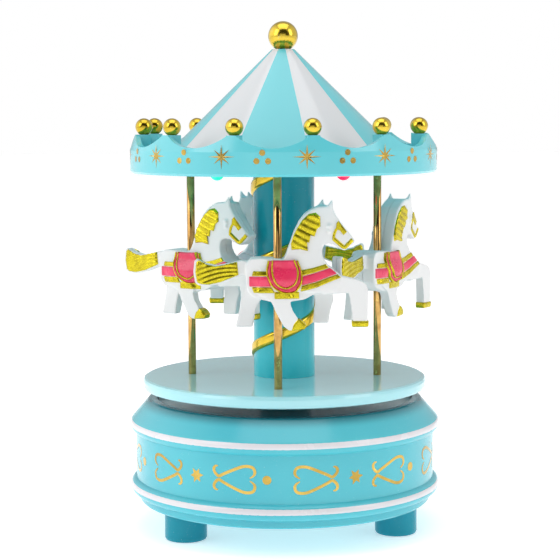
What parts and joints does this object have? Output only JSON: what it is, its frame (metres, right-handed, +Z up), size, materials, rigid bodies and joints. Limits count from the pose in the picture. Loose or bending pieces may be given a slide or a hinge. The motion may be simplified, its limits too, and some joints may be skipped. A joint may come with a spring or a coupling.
{
  "type": "wind up music box",
  "caption": "Carousel music box: a wind-up turntable on a round drum base carries prancing horses on poles under a striped cone canopy with a scalloped rim.",
  "frame": {"origin": "on the turntable axis, in the plane under the feet", "axes": "+Z up along the turntable axis, -Y toward the viewer, +X to the viewer's right"},
  "size_m": [0.1121, 0.11, 0.1785],
  "materials": {
    "base_plastic": "glossy light blue moulded plastic",
    "platform_plastic": "glossy very pale blue moulded plastic",
    "column_plastic": "glossy light blue moulded plastic",
    "canopy_plastic": "glossy light blue moulded plastic, painted in light blue and white sectors on the cone",
    "horse_plastic": "white moulded plastic with painted mane, saddle and hooves",
    "gold_plating": "bright gold plating over plastic",
    "pole_brass": "polished brass tube",
    "brass_plate": "machined brass",
    "zinc_frame": "die-cast zinc, bare",
    "spring_steel": "blued spring steel",
    "shaft_steel": "ground steel",
    "screw_steel": "zinc-plated steel",
    "cell_steel": "nickel-plated steel",
    "washer_plastic": "natural acetal",
    "circuit_board": "green solder mask",
    "red_lens": "clear red resin",
    "green_lens": "clear green resin",
    "blue_lens": "clear blue resin",
    "dark_plastic": "black plastic",
    "switch_plastic": "white plastic",
    "fan_plastic": "natural plastic"
  },
  "bodies": {
    "base": {"base_shell": "base_plastic", "base_cover": "base_plastic", "foot_right": "base_plastic", "foot_rear": "base_plastic", "foot_left": "base_plastic", "cover_screws": "screw_steel", "movement_frame": "zinc_frame", "movement_screws": "screw_steel", "spring_housing": "brass_plate", "mainspring": "spring_steel", "governor_bracket": "zinc_frame", "bracket_screw": "screw_steel", "note_comb": "spring_steel", "comb_screws": "screw_steel", "thrust_washer": "washer_plastic"},
    "turntable": {"winding_arbor": "shaft_steel", "main_wheel": "brass_plate", "hub_insert": "brass_plate", "platform": "platform_plastic", "column_front_half": "column_plastic", "column_rear_half": "column_plastic", "column_ribbon": "gold_plating", "tie_rod": "shaft_steel", "pole_front": "pole_brass", "pole_right": "pole_brass", "pole_rear": "pole_brass", "pole_left": "pole_brass", "canopy": "canopy_plastic", "canopy_ceiling": "canopy_plastic", "ceiling_screws": "screw_steel", "rim_balls": "gold_plating", "finial_lower_half": "gold_plating", "finial_upper_half": "gold_plating", "light_board": "circuit_board", "light_red": "red_lens", "light_green": "green_lens", "light_blue": "blue_lens", "battery_cells": "cell_steel", "battery_contacts": "spring_steel", "battery_door": "canopy_plastic", "battery_door_screw": "screw_steel", "switch_housing": "dark_plastic"},
    "switch slider": {"switch_slider": "switch_plastic"},
    "pin cylinder": {"pin_cylinder": "brass_plate", "cylinder_shaft": "shaft_steel", "cylinder_pinion": "brass_plate", "cylinder_gear": "brass_plate"},
    "idler": {"idler_arbor": "shaft_steel", "worm_wheel": "brass_plate"},
    "governor": {"governor_shaft": "shaft_steel", "governor_worm": "shaft_steel", "governor_fan": "fan_plastic"},
    "front horse": {"front_horse_left_half": "horse_plastic", "front_horse_right_half": "horse_plastic"},
    "right horse": {"right_horse_left_half": "horse_plastic", "right_horse_right_half": "horse_plastic"},
    "rear horse": {"rear_horse_left_half": "horse_plastic", "rear_horse_right_half": "horse_plastic"},
    "left horse": {"left_horse_left_half": "horse_plastic", "left_horse_right_half": "horse_plastic"}
  },
  "joints": [
    {"name": "turntable turn", "type": "hinge", "parent": "base", "child": "turntable", "pos_m": [0, 0, 0.05], "axis": [0, 0, 1], "continuous": true},
    {"name": "pin cylinder turn", "type": "hinge", "parent": "base", "child": "pin cylinder", "pos_m": [0.02, 0, 0.0305], "axis": [1, 0, 0], "continuous": true},
    {"name": "idler turn", "type": "hinge", "parent": "base", "child": "idler", "pos_m": [0.033, -0.00875, 0.0305], "axis": [1, 0, 0], "continuous": true},
    {"name": "governor turn", "type": "hinge", "parent": "base", "child": "governor", "pos_m": [0.03675, -0.015, 0.0305], "axis": [0, 0, 1], "continuous": true},
    {"name": "light switch", "type": "slide", "parent": "turntable", "child": "switch slider", "axis": [1, 0, 0], "range_m": [0, 0.002]},
    {"name": "front horse swivel", "type": "hinge", "parent": "turntable", "child": "front horse", "pos_m": [-0.00216, -0.03303, 0.08], "axis": [0, 0, 1], "range_deg": [-12, 12]},
    {"name": "right horse swivel", "type": "hinge", "parent": "turntable", "child": "right horse", "pos_m": [0.03303, -0.00216, 0.08], "axis": [0, 0, 1], "range_deg": [-12, 12]},
    {"name": "rear horse swivel", "type": "hinge", "parent": "turntable", "child": "rear horse", "pos_m": [0.00216, 0.03303, 0.08], "axis": [0, 0, 1], "range_deg": [-12, 12]},
    {"name": "left horse swivel", "type": "hinge", "parent": "turntable", "child": "left horse", "pos_m": [-0.03303, 0.00216, 0.08], "axis": [0, 0, 1], "range_deg": [-12, 6]}
  ],
  "couplings": [
    {"joint": "pin cylinder turn", "follows": "turntable turn", "ratio": 3},
    {"joint": "idler turn", "follows": "turntable turn", "ratio": -12},
    {"joint": "governor turn", "follows": "turntable turn", "ratio": -288}
  ]
}
